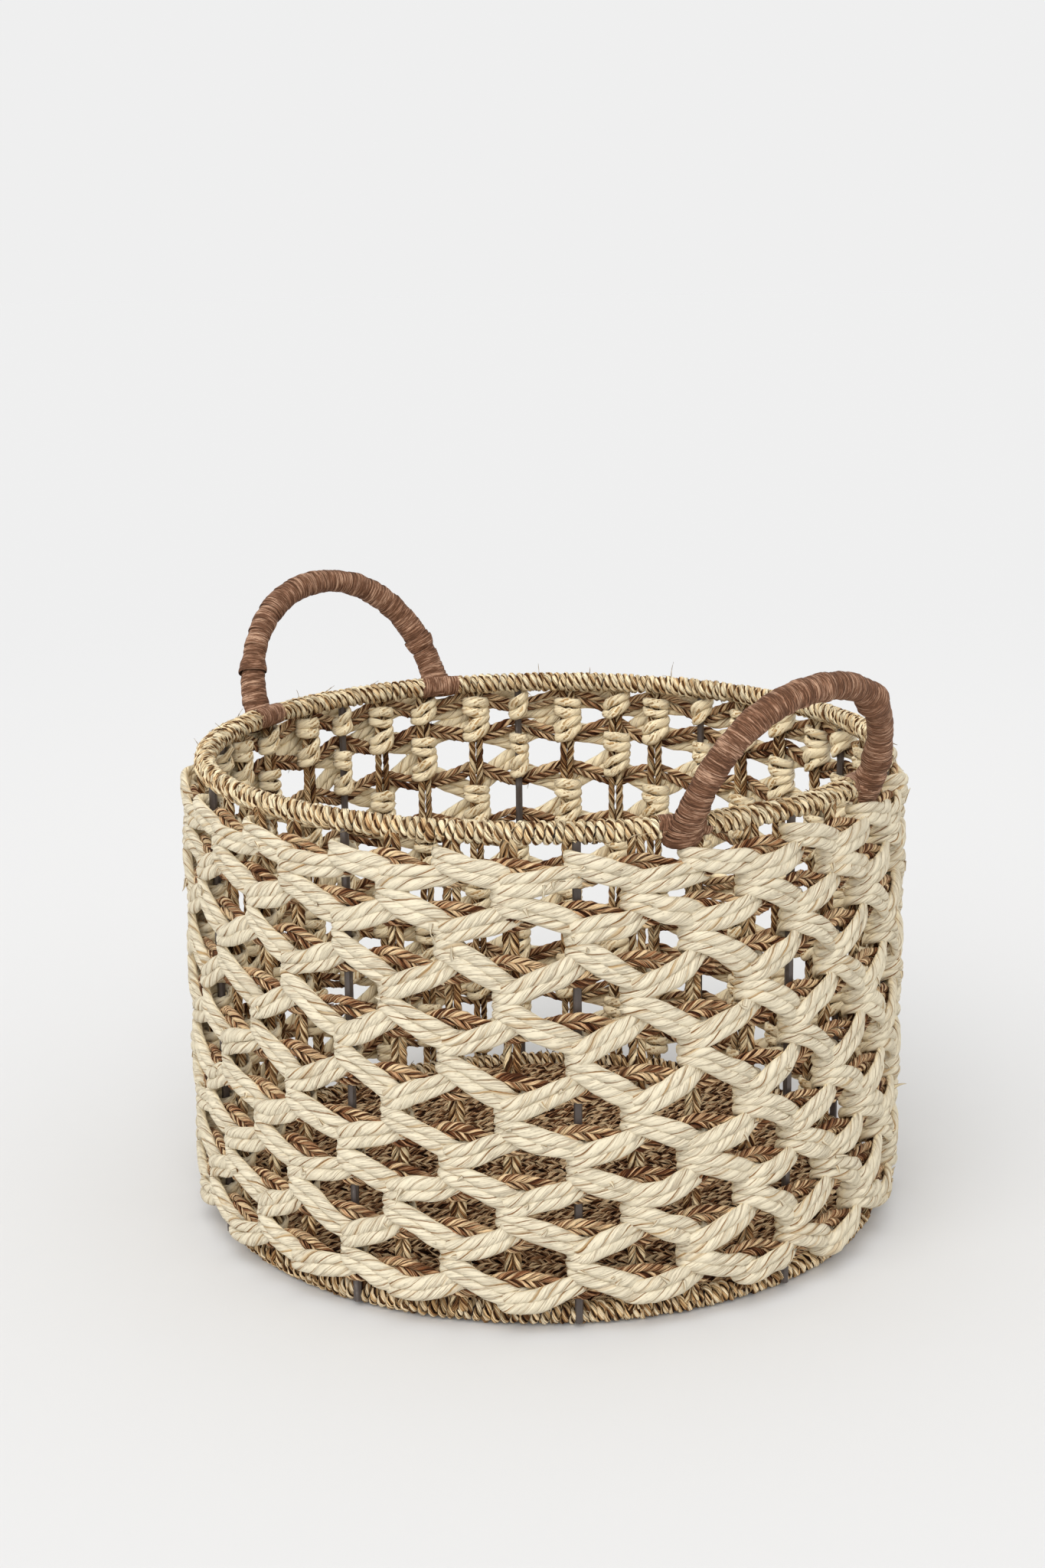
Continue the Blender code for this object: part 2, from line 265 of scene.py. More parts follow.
def cord_tree():
    """Geometry Nodes: lays the plies of a cord round each path and sweeps a flattened section along them."""
    found = bpy.data.node_groups.get("laid_cord")
    if found:
        return found
    tree = bpy.data.node_groups.new("laid_cord", "GeometryNodeTree")
    face = tree.interface
    face.new_socket("Paths", in_out="INPUT", socket_type="NodeSocketGeometry")
    for word, value in (
        ("Plies", 2), ("Sides", 7), ("Lay Radius", 0.001), ("Ply Depth", 0.0013), ("Ply Width", 0.0018),
        ("Turn Length", 0.02), ("Ruffle", 0.0002), ("Ruffle Scale", 300.0), ("Seed", 0),
    ):
        kind = "NodeSocketInt" if isinstance(value, int) else "NodeSocketFloat"
        face.new_socket(word, in_out="INPUT", socket_type=kind).default_value = value
    face.new_socket("Finish", in_out="INPUT", socket_type="NodeSocketMaterial")
    face.new_socket("Cords", in_out="OUTPUT", socket_type="NodeSocketGeometry")
    sheet = Sheet(tree)
    start = sheet.node("NodeGroupInput").outputs

    def held(name):
        return sheet.signal(sheet.node("GeometryNodeInputNamedAttribute", {"data_type": "FLOAT"}, name).outputs[0])

    def aim(name):
        return sheet.node("GeometryNodeInputNamedAttribute", {"data_type": "FLOAT_VECTOR"}, name).outputs[0]

    def store(geometry, name, value, kind="FLOAT"):
        made = sheet.node("GeometryNodeStoreNamedAttribute", {"data_type": kind, "domain": "POINT"},
                          geometry, None, name, value)
        return made.outputs[0]

    curve = sheet.node("GeometryNodeMeshToCurve", None, start["Paths"]).outputs[0]
    along = sheet.node("GeometryNodeInputTangent").outputs[0]
    facing = aim("outward")
    side = sheet.vector("NORMALIZE", sheet.vector("CROSS_PRODUCT", facing, along))
    outward = sheet.vector("CROSS_PRODUCT", along, side)
    curve = store(curve, "core", sheet.node("GeometryNodeInputPosition").outputs[0], "FLOAT_VECTOR")
    curve = store(curve, "side", side, "FLOAT_VECTOR")
    curve = store(curve, "outward", outward, "FLOAT_VECTOR")
    spline = sheet.node("GeometryNodeSplineParameter").outputs
    curve = store(curve, "run", spline["Length"])
    copied = sheet.node("GeometryNodeDuplicateElements", {"domain": "SPLINE"}, curve, None, start["Plies"])
    curve = copied.outputs[0]
    number = sheet.signal(copied.outputs[1])
    whole = sheet.signal(sheet.node("GeometryNodeSplineLength").outputs[0])
    turns = (whole / start["Turn Length"]).maths("ROUND")
    angle = held("hand") * turns * sheet.signal(spline["Factor"]) * math.tau
    angle = angle + number * math.tau / start["Plies"] + held("phase")
    lean_out = sheet.vector("SCALE", aim("outward"), scale=angle.maths("COSINE"))
    lean_side = sheet.vector("SCALE", aim("side"), scale=angle.maths("SINE"))
    lean = sheet.vector("ADD", lean_out, lean_side)
    curve = store(curve, "lean", lean, "FLOAT_VECTOR")
    mark = sheet.node("FunctionNodeRandomValue", {"data_type": "FLOAT"})
    sheet.feed(mark.inputs["Seed"], start["Seed"])
    sheet.feed(mark.inputs["ID"], held("tag") + number * 131.0)
    curve = store(curve, "strand", mark.outputs[1])
    away = held("girth") * held("bed") * start["Lay Radius"]
    shift = sheet.vector("SCALE", aim("lean"), scale=away)
    curve = sheet.node("GeometryNodeSetPosition", None, curve, Offset=shift).outputs[0]
    curve = sheet.node("GeometryNodeSetCurveNormal", {"mode": "FREE"}, curve, Normal=aim("lean")).outputs[0]
    ring = sheet.node("GeometryNodeCurvePrimitiveCircle", {"mode": "RADIUS"}, Resolution=start["Sides"], Radius=1.0)
    section = store(ring.outputs[0], "ring", sheet.node("GeometryNodeInputPosition").outputs[0], "FLOAT_VECTOR")
    shape = sheet.node("ShaderNodeCombineXYZ", None, start["Ply Depth"], start["Ply Width"], 1.0)
    section = sheet.node("GeometryNodeTransform", None, section, Scale=shape.outputs[0]).outputs[0]
    solid = sheet.node("GeometryNodeCurveToMesh", None, curve, section, held("girth"), True).outputs[0]
    offset = sheet.vector("SUBTRACT", sheet.node("GeometryNodeInputPosition").outputs[0], aim("core"))
    depth = sheet.vector("DOT_PRODUCT", offset, aim("outward"))
    width = sheet.vector("DOT_PRODUCT", offset, aim("side"))
    level_core = sheet.vector("MULTIPLY", aim("core"), (1.0, 1.0, 0.0))
    spoke = sheet.vector("NORMALIZE", level_core)
    # How far each point lies outward from the cord's core, level and away from the basket's axis; the finishes use it
    # to place painted inside light.
    solid = store(solid, "outer", sheet.vector("DOT_PRODUCT", offset, spoke))
    pressed = sheet.vector("SCALE", aim("outward"), scale=depth * (held("press") - 1.0))
    spread = sheet.vector("SCALE", aim("side"), scale=width * (held("spread") - 1.0))
    cloud = sheet.node("ShaderNodeTexNoise", {"noise_dimensions": "3D"}, None, Scale=start["Ruffle Scale"], Detail=2.0)
    ruffle = sheet.vector("SUBTRACT", cloud.outputs["Color"], (0.5, 0.5, 0.5))
    ruffle = sheet.vector("SCALE", ruffle, scale=sheet.signal(start["Ruffle"]) * 2.0)
    moved = sheet.vector("ADD", sheet.vector("ADD", pressed, spread), ruffle)
    solid = sheet.node("GeometryNodeSetPosition", None, solid, Offset=moved).outputs[0]
    for name in ("core", "side", "outward", "lean", "hand", "phase", "girth", "press", "spread", "tag"):
        solid = sheet.node("GeometryNodeRemoveAttribute", None, solid, Name=name).outputs[0]
    solid = sheet.node("GeometryNodeSetShadeSmooth", None, solid).outputs[0]
    solid = sheet.node("GeometryNodeRealizeInstances", None, solid).outputs[0]
    solid = sheet.node("GeometryNodeSetMaterial", None, solid, Material=start["Finish"]).outputs[0]
    sheet.node("NodeGroupOutput", None, solid)
    return tree


def spaced(controls, spacing, closed):
    """Points at an even spacing on a smooth curve through the controls; every column is carried along."""
    controls = np.asarray(controls, float)
    count = len(controls)
    if closed:
        before, here, after, beyond = (np.roll(controls, n, axis=0) for n in (1, 0, -1, -2))
    else:
        padded = np.vstack([2 * controls[0] - controls[1], controls, 2 * controls[-1] - controls[-2]])
        before, here, after, beyond = (padded[n:n + count - 1] for n in range(4))
    t = np.linspace(0, 1, 10, endpoint=False)[None, :, None]
    a, b, c, d = (part[:, None, :] for part in (before, here, after, beyond))
    fine = 0.5 * (2 * b + (c - a) * t + (2 * a - 5 * b + 4 * c - d) * t ** 2 + (3 * b - a - 3 * c + d) * t ** 3)
    fine = fine.reshape(-1, controls.shape[1])
    fine = np.vstack([fine, fine[:1] if closed else controls[-1:]])
    run = np.concatenate([[0], np.cumsum(np.linalg.norm(np.diff(fine[:, :3], axis=0), axis=1))])
    number = max(4, int(round(run[-1] / spacing)))
    at = np.linspace(0, run[-1], number + 1)
    if closed:
        at = at[:-1]
    return np.stack([np.interp(at, run, fine[:, n]) for n in range(fine.shape[1])], axis=1)


def tangents(points, closed):
    if closed:
        along = np.roll(points, -1, axis=0) - np.roll(points, 1, axis=0)
    else:
        along = np.gradient(points, axis=0)
    return along / np.linalg.norm(along, axis=1, keepdims=True)


def crossed(along, other):
    made = np.cross(along, other)
    return made / np.maximum(np.linalg.norm(made, axis=1, keepdims=True), 1e-9)


def wander(rng, count, knots, amount, closed=False):
    """A smooth random line of so many values."""
    values = [rng.uniform(-1, 1) for _ in range(knots)]
    values.append(values[0] if closed else rng.uniform(-1, 1))
    at = np.linspace(0, knots, count, endpoint=not closed)
    low = np.minimum(at.astype(int), knots - 1)
    part = at - low
    part = part * part * (3 - 2 * part)
    values = np.array(values)
    return amount * (values[low] * (1 - part) + values[low + 1] * part)


def path(points, outward, closed=False, hand=1.0, phase=0.0, girth=1.0, press=1.0, spread=1.0, bed=1.0):
    """A cord's middle line and, at each point, how it is turned; bed below 1 sinks the plies into each other."""
    every = np.ones(len(points))
    return {
        "points": np.asarray(points), "outward": np.asarray(outward), "closed": closed, "hand": hand * every,
        "phase": phase * every, "girth": girth * every, "press": press * every, "spread": spread * every,
        "bed": bed * every, "tag": np.ravel(phase)[0] * 977.0 * every}


def laid(name, paths, finish, slot, replaces, **inputs):
    """One plain mesh of cords along the paths, riding on the basket and standing for its CAD nodes."""
    points = np.vstack([one["points"] for one in paths])
    edges = []
    base = 0
    for one in paths:
        count = len(one["points"])
        edges += [(base + n, base + n + 1) for n in range(count - 1)]
        if one["closed"]:
            edges.append((base + count - 1, base))
        base += count
    mesh = bpy.data.meshes.new(name)
    mesh.from_pydata(points.tolist(), edges, [])
    for word in TURNED:
        held = mesh.attributes.new(word, "FLOAT", "POINT")
        held.data.foreach_set("value", np.concatenate([one[word] for one in paths]).astype(np.float32))
    held = mesh.attributes.new("outward", "FLOAT_VECTOR", "POINT")
    held.data.foreach_set("vector", np.vstack([one["outward"] for one in paths]).astype(np.float32).ravel())
    piece = bpy.data.objects.new(name, mesh)
    bpy.context.scene.collection.objects.link(piece)
    tree = cord_tree()
    step = piece.modifiers.new("laid_cord", "NODES")
    step.node_group = tree
    inputs["Finish"] = finishes()[finish]
    for socket in tree.interface.items_tree:
        if socket.in_out == "INPUT" and socket.name in inputs:
            step[socket.identifier] = inputs[socket.name]
    bpy.context.view_layer.update()
    graph = bpy.context.evaluated_depsgraph_get()
    plain = bpy.data.meshes.new_from_object(piece.evaluated_get(graph))
    piece.modifiers.remove(step)
    piece.data = plain
    bpy.data.meshes.remove(mesh)
    plain.name = name
    keep(piece, replaces)
    return piece


def keep(piece, replaces):
    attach(piece, "root")
    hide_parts(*replaces)


def rope_inputs(thickness, turn, sides=6, seed=1, plies=2):
    """Sizes of a cord whose plies stand apart in deep grooves."""
    return {
        "Plies": plies, "Sides": sides, "Lay Radius": 0.245 * thickness, "Ply Depth": 0.265 * thickness,
        "Ply Width": (0.44 - 0.048 * plies) * thickness, "Turn Length": turn, "Ruffle": 0.00026,
        "Ruffle Scale": 420.0, "Seed": seed}


def husk_inputs(thickness, turn, seed=1):
    """Sizes of a soft three-ply cord whose plies bed into each other."""
    return {
        "Plies": 3, "Sides": 6, "Lay Radius": 0.265 * thickness, "Ply Depth": 0.25 * thickness,
        "Ply Width": 0.42 * thickness, "Turn Length": turn, "Ruffle": 0.00062, "Ruffle Scale": 165.0, "Seed": seed}


# ---- finishes

def blank_finish(name):
    made = bpy.data.materials.new(name)
    made.use_nodes = True
    return made, Sheet(made.node_tree), made.node_tree.nodes["Principled BSDF"]


def fibre_finish(name, tones, dark, lines, crease_shade, rough, around, lengthwise, bump, patch, swing, ridge_highlight=0.0,
                 broken=0.25, inner=None):
    """Dry plant fibre that runs along the cord: folds of differing tone and fine lines, with painted shade in the
    grooves between plies and a painted highlight on each ply's crest; an inner tint paints lighter, warmer light on
    the inner side of a cord.
    """
    material, sheet, shader = blank_finish(name)
    ring = sheet.node("ShaderNodeAttribute", {"attribute_name": "ring"}).outputs["Vector"]
    run = sheet.attribute("run")
    strand = sheet.attribute("strand")
    parts = sheet.node("ShaderNodeSeparateXYZ", None, ring).outputs
    radial, across = sheet.signal(parts[0]), sheet.signal(parts[1])
    shift = strand * 37.0

    def cloud(round_scale, long_scale, detail, roughness=0.6):
        place = sheet.node("ShaderNodeCombineXYZ", None, radial * round_scale + shift, across * round_scale,
                           run * long_scale)
        return sheet.noise(place.outputs[0], 1.0, detail, Roughness=roughness)

    fine = cloud(around * 1.8, lengthwise * 1.5, 4.0, 0.65)
    broad = cloud(around * 0.7, lengthwise * 0.5, 2.0)
    spot = cloud(0.0, patch, 2.0, 0.5)
    tone = ((broad - 0.5) * 2.3 + (spot - 0.5) * 1.3 + (fine - 0.5) * 0.8 + (strand - 0.5) * 0.25) * swing + 0.5
    # Painted highlight and shade: the outer crest of each ply is pushed toward the lighter tones and its flanks toward
    # the darker ones.
    tone = tone + (radial - 0.45) * ridge_highlight
    colour = sheet.node("ShaderNodeValToRGB", {"stops": tones}, tone).outputs[0]
    # Painted inside light: on the side of a cord that faces into the basket, the colour is multiplied by the inner
    # tint, lighter and warmer, standing in for light bounced inside the basket.
    if inner:
        painted_inside_light = sheet.attribute("outer").between(-0.0010, 0.0012, 1.0, 0.0)
        colour = sheet.mix(painted_inside_light, colour, inner, "MULTIPLY")
    strength, width = lines
    folds = (broad - 0.47).maths("ABSOLUTE").between(0.0, width, 1.0, 0.0)
    threads = (fine - 0.5).maths("ABSOLUTE").between(0.0, width * 0.9, 1.0, 0.0)
    mark = folds.maths("MAXIMUM", threads * 0.6) * strength
    # Painted shade in the groove between plies: it grows from the start to the end value across the ply's section, is
    # weaker where the plies bed into each other, and is broken into dashes by the gaps noise.
    start, end, depth = crease_shade
    depth = sheet.attribute("bed").between(0.4, 1.0, depth * 0.3, depth)
    gaps = cloud(0.8, patch * 5.0, 1.0).between(0.36, 0.56, 1.0 - broken, 1.0)
    painted_crease_shade = radial.between(start, end, 0.0, depth) * gaps
    # The darkening mixes the fibre's own fine fold and thread lines, which are real colour, with the painted groove
    # shade.
    shade = mark.maths("MAXIMUM", painted_crease_shade).maths("MINIMUM", 1.0)
    sheet.feed(shader.inputs["Base Color"], sheet.mix(shade, colour, dark))
    sheet.feed(shader.inputs["Roughness"], fine.between(0.3, 0.7, rough + 0.1, rough - 0.12))
    shader.inputs["Specular IOR Level"].default_value = 0.06
    relief = sheet.node("ShaderNodeBump", None, Strength=0.8, Distance=bump)
    sheet.feed(relief.inputs["Height"], fine * 0.6 + broad * 0.8 - mark * 0.8)
    sheet.feed(shader.inputs["Normal"], relief.outputs[0])
    return material


def times(colour, factor):
    return tuple(min(1.0, part * factor) for part in colour)


# Name, tones, dark (colour of the fine lines and of the painted shade), lines, crease (where painted shade in the
# groove between plies starts and ends across the section, and how strong it is), roughness, patch, swing and ridge
# (painted highlight on the crest of each ply, painted shade on its flanks) of each seagrass; a word stands for a
# colour of the panel.
SEAGRASSES = (
    ("wound_golden_seagrass",
     ((0.0, (0.12, 0.050, 0.018)), (0.20, (0.42, 0.220, 0.088)), (0.46, "golden"), (0.84, (1.0, 0.86, 0.59))),
     (0.060, 0.024, 0.010), (0.85, 0.036), (0.32, -0.28, 0.93), 0.66, 35.0, 0.95, 0.55),
    ("foot_rim_seagrass",
     ((0.0, (0.075, 0.028, 0.011)), (0.22, (0.33, 0.155, 0.058)), (0.5, (0.86, 0.57, 0.270)),
      (0.87, (1.0, 0.83, 0.57))),
     (0.016, 0.007, 0.004), (0.9, 0.038), (0.40, -0.25, 0.97), 0.66, 35.0, 1.15, 0.5),
    ("standing_seagrass",
     ((0.0, (0.06, 0.022, 0.009)), (0.25, (0.24, 0.102, 0.036)), (0.55, (0.57, 0.330, 0.138)),
      (0.92, (0.88, 0.70, 0.43))),
     (0.030, 0.013, 0.006), (0.85, 0.034), (0.42, -0.06, 0.97), 0.66, 30.0, 1.4, 0.35),
    ("plaited_brown_seagrass",
     ((0.0, (0.06, 0.020, 0.009)), (0.22, (0.23, 0.084, 0.031)), (0.5, "brown"), (0.88, (0.84, 0.61, 0.35))),
     (0.030, 0.012, 0.006), (0.85, 0.034), (0.42, -0.06, 0.97), 0.66, 32.0, 1.4, 0.4),
    ("mat_cord_seagrass",
     ((0.0, (0.045, 0.017, 0.008)), (0.25, (0.20, 0.077, 0.030)), (0.53, (0.58, 0.320, 0.155)),
      (0.87, (0.91, 0.68, 0.41))),
     (0.018, 0.008, 0.004), (0.85, 0.034), (0.25, -0.55, 0.97), 0.70, 25.0, 1.5, 0.45),
)


def finishes():
    """Every material, made once."""
    if bpy.data.materials.get("cream_husk_cord"):
        return bpy.data.materials
    colours = bpy.context.scene.basket_colours
    cream = tuple(colours.cream)
    # Cream: its lowest tone and its dark colour also serve as painted shade on the flanks and in the grooves of each
    # ply, and its inner tint is painted light on the side facing into the basket.
    fibre_finish(
        "cream_husk_cord", [(0.0, (0.48, 0.325, 0.160)), (0.42, cream), (1.0, times(cream, 1.04))],
        (0.23, 0.105, 0.034), (0.45, 0.018), (0.40, 0.0, 1.0), 0.72, around=1.1, lengthwise=26.0,
        bump=0.0009, patch=14.0, swing=0.8, ridge_highlight=0.62, broken=0.75, inner=(1.36, 1.31, 1.19))
    for name, stops, dark, lines, crease_shade, rough, patch, swing, ridge_highlight in SEAGRASSES:
        tones = [(place, tuple(getattr(colours, tone)) if isinstance(tone, str) else tone) for place, tone in stops]
        fibre_finish(name, tones, dark, lines, crease_shade, rough, around=1.5, lengthwise=42.0, bump=0.0007,
                     patch=patch, swing=swing, ridge_highlight=ridge_highlight)
    twine = tuple(colours.twine)
    # Handle band: its crease values paint shade where each turn of the band tucks under the next.
    fibre_finish(
        "paper_band_twine", [(0.0, times(twine, 0.5)), (0.45, twine), (0.95, (0.62, 0.39, 0.26))],
        times(twine, 0.25), (0.8, 0.03), (0.45, 0.10, 0.92), 0.6, around=7.0, lengthwise=230.0,
        bump=0.0004, patch=60.0, swing=1.2)
    steel_finish(tuple(colours.steel))
    return bpy.data.materials


def steel_finish(colour):
    """Dark paint with drawn scratches and specks where it has worn."""
    material, sheet, shader = blank_finish("painted_steel_rod")
    place = sheet.node("ShaderNodeTexCoord").outputs["Object"]
    drawn = sheet.node("ShaderNodeMapping", None, place, Scale=(900.0, 900.0, 45.0)).outputs[0]
    scratch = sheet.noise(drawn, 1.0, 4.0)
    speck = sheet.noise(place, 260.0, 3.0)
    wear = (scratch * 0.6 + speck * 0.4).between(0.52, 0.74)
    sheet.feed(shader.inputs["Base Color"], sheet.mix(wear, colour, (0.23, 0.20, 0.18)))
    sheet.feed(shader.inputs["Roughness"], speck.between(0.2, 0.8, 0.36, 0.58))
    shader.inputs["Metallic"].default_value = 0.55
    relief = sheet.node("ShaderNodeBump", None, Strength=0.3, Distance=0.0002)
    sheet.feed(relief.inputs["Height"], speck * 0.7 + scratch * 0.3)
    sheet.feed(shader.inputs["Normal"], relief.outputs[0])
    return material


# ---- layout shared by the pieces

def stake_angles():
    """Angles of the stakes and uprights; every fourth is an upright and stands true."""
    rng = random.Random(11)
    return [n * STEP + (0.0 if n % 4 == 0 else math.radians(rng.uniform(-0.9, 0.9))) for n in range(WARPS)]


def node_shifts():
    """Small random shifts of the crossings, in millimetres."""
    rng = random.Random(23)
    return [[rng.uniform(-1.3, 1.3) for _ in range(WARPS)] for _ in range(ROWS + 1)]


STAKES = stake_angles()
SHIFTS = node_shifts()


def level(number, warp):
    """Height in millimetres of the crossing at this level and warp."""
    angle = STAKES[warp % WARPS]
    far = (1 - math.cos(angle - SIGHT)) / 2
    return LEVELS[number] + FAR_RISE[number] * far + SHIFTS[number][warp % WARPS]


def spot(angle, radius, height):
    """A point from an angle in radians, and a radius and a height in millimetres."""
    return (radius * math.cos(angle) * MM, radius * math.sin(angle) * MM, height * MM)


def is_peak(row, warp):
    return (row + warp) % 2 == 1


def cream_controls(row, rng):
    """Controls of one cream band: x, y, z, half the gap between its two cords, press, spread, bed."""
    controls = []
    for warp in range(WARPS):
        steel = warp % 4 == 0
        half = UPRIGHT_HALF if steel else STAKE_HALF
        back = 203.6 if steel else 203.9
        peak = is_peak(row, warp)
        z = level(row - 1 if peak else row, warp)
        if peak:
            heights = (-13.4, -13.2, -12.2, -9.8, -7.4, -5.6, -5.0, -6.0)
        else:
            heights = (7.0, 6.9, 6.8, 6.5, 6.0, 5.2, 4.9, 5.8)
        right, left = half + 2.1, half + 2.7
        sides = (1.0, right, right * 0.55, 0.0, -left * 0.55, -left, -left * 0.62, 2.0)
        radii = (213.2, 209.3, back + 0.3, back - 0.4, back + 0.3, 209.6, 214.6, 217.5)
        gaps = (2.7, 2.7, 3.5, 3.9, 3.5, 2.8, 2.85, 3.05)
        press = (0.72, 0.75, 0.68, 0.62, 0.68, 0.78, 0.82, 0.85)
        spread = (1.05, 1.05, 1.3, 1.45, 1.3, 1.08, 1.12, 1.2)
        bed = (1.0, 0.85, 0.5, 0.35, 0.5, 0.85, 1.0, 1.0)
        nudge = rng.uniform(-0.8, 0.8)
        for place in range(8):
            angle = STAKES[warp] + sides[place] / STAKE_LINE
            x, y, height = spot(angle, radii[place] + rng.uniform(-0.2, 0.2), z + heights[place] + nudge)
            controls.append((x, y, height, gaps[place], press[place], spread[place], bed[place]))
        ahead = (warp + 1) % WARPS
        goal = level(row if peak else row - 1, ahead) + (BAND_RISE if peak else BAND_DROP)
        start = z + heights[7] + nudge
        reach = (STAKES[ahead] - STAKES[warp]) % math.tau
        for part, bow in ((0.34, 0.35), (0.68, 0.25)):
            angle = STAKES[warp] + 2.0 / STAKE_LINE + (reach - 1.0 / STAKE_LINE) * part
            height = start + (goal - start) * part + rng.uniform(-1.2, 1.2) + (bow if peak else -bow)
            radius = BAND_LINE - (1.3 if part > 0.5 else 0.0) + rng.uniform(-0.25, 0.25)
            x, y, height = spot(angle, radius, height)
            controls.append((x, y, height, 3.2 + rng.uniform(-0.35, 0.35), 0.82, 1.24 + rng.uniform(-0.14, 0.16), 1.0))
    return controls


def up_facing(points, closed):
    """The flat side of a band that runs level round the basket and doubles back behind each stake."""
    return crossed(tangents(points, closed), np.tile(UP, (len(points), 1)))


def paired(line, rng, closed, hands, twist_phase, girth_amount=0.12):
    """Two cords side by side along a line of x, y, z, half gap, press, spread and bed."""
    points = line[:, :3]
    outward = up_facing(points, closed)
    along = tangents(points, closed)
    beside = crossed(outward, along)
    made = []
    for number, sign in enumerate((1, -1)):
        count = len(points)
        sway = wander(rng, count, max(4, count // 14), 0.5 * MM, closed)
        girth = 1 + wander(rng, count, max(4, count // 9), girth_amount, closed)
        shifted = points + beside * (sign * line[:, 3] * MM + sway)[:, None]
        phase = twist_phase + 1.7 * number + wander(rng, count, max(4, count // 13), 1.1, closed)
        made.append(path(shifted, outward, closed, hands[number], phase, girth, *line[:, 4:7].T))
    return made


def radial(points):
    """The level way out from the middle of the basket at each point."""
    flat = np.array(points, float)
    flat[:, 2] = 0.0
    return flat / np.linalg.norm(flat, axis=1, keepdims=True)


def strays(rng, count, place, least=4.0, most=11.0, girth=0.17):
    """Loose fibre ends that curl away; place gives the foot of each and the way out from the surface."""
    made = []
    at = np.linspace(0, 1, 6)[:, None]
    for _ in range(count):
        foot, out = place()
        heading = np.array([rng.uniform(-1, 1) for _ in range(3)])
        heading += out * (rng.uniform(0.05, 0.45) - heading @ out)
        heading /= np.linalg.norm(heading)
        curl = np.array([rng.uniform(-1, 1) for _ in range(3)]) * 0.6
        reach = rng.uniform(least, most) * MM
        points = foot + (heading * at + curl * at ** 2 * 0.5) * reach
        made.append(path(points, np.tile(out, (6, 1)), girth=np.linspace(girth, 0.05, 6)))
    return made


def rim_place(rng, start, end, ring_radius, ring_height, coil_radius, lowest=-2.2):
    """Random feet for loose fibres on the outside of a wound ring."""
    def place():
        turn = math.radians(rng.uniform(start, end))
        around = rng.uniform(lowest, 2.2)
        level_out = np.array([math.cos(turn), math.sin(turn), 0.0])
        out = level_out * math.cos(around) + np.array([0.0, 0.0, math.sin(around)])
        return level_out * ring_radius + np.array([0.0, 0.0, ring_height]) + out * coil_radius, out
    return place


def row_place(rng, line, out_by, rise=0.0):
    """Random feet for loose fibres on the outside of a row."""
    def place():
        x, y, height = line[rng.randrange(len(line)), :3]
        out = np.array([x, y, 0.0]) / math.hypot(x, y)
        foot = np.array([x, y, height]) + out * out_by * MM
        if rise:
            foot = foot + UP * rng.uniform(-rise, rise) * MM
        return foot, out
    return place


# ---- operators

class BASKET_OT_cream_rows(bpy.types.Operator):
    """Nine zigzag rows of cream double cord, each lapped round every stake and upright"""

    bl_idname = "basket.cream_rows"
    bl_label = "Cream Rows"

    def execute(self, context):
        sizes = context.scene.basket_sizes
        for row in range(1, ROWS + 1):
            rng = random.Random(100 + row)
            line = spaced(cream_controls(row, rng), CREAM_SPACING, True)
            slivers = strays(rng, 36, row_place(rng, line, 2.0, 4), 3.0, 8.0, 0.45)
            laid(f"cream_band_{row}", paired(line, rng, True, (1.0, 1.0), row * 0.9, 0.17) + slivers,
                 "cream_husk_cord", "cream_cord", [f"cream_row_{row}"],
                 **husk_inputs(sizes.cream_cord, sizes.cream_turn, seed=row))
        return {"FINISHED"}


class BASKET_OT_brown_rows(bpy.types.Operator):
    """Nine rows of brown seagrass pairs that run outside the stakes, under the cream"""

    bl_idname = "basket.brown_rows"
    bl_label = "Brown Rows"

    def execute(self, context):
        sizes = context.scene.basket_sizes
        for row in range(1, ROWS + 1):
            rng = random.Random(200 + row)
            controls = []
            for warp in range(WARPS):
                middle = (level(row, warp) + level(row - 1, warp)) / 2
                height = middle + (-4.5 if is_peak(row, warp) else 4.5) + rng.uniform(-0.9, 0.9)
                controls.append((*spot(STAKES[warp], BROWN_LINE, height), 2.35, 0.85, 1.05, 1.0))
                angle = STAKES[warp] + STEP * 0.5
                after = (level(row, warp + 1) + level(row - 1, warp + 1)) / 2
                height = (middle + after) / 2 + rng.uniform(-0.8, 0.8)
                controls.append((*spot(angle, BROWN_LINE - 1.1, height), 2.5, 0.85, 1.05, 1.0))
            line = spaced(controls, BROWN_SPACING, True)
            loose = strays(rng, 22, row_place(rng, line, 1.5))
            laid(f"brown_pair_{row}", paired(line, rng, True, (1.0, -1.0), row * 1.3) + loose,
                 "plaited_brown_seagrass", "brown_seagrass", [f"brown_row_{row}"],
                 **rope_inputs(sizes.brown_cord, sizes.seagrass_turn, 5, row + 20, 3))
        return {"FINISHED"}


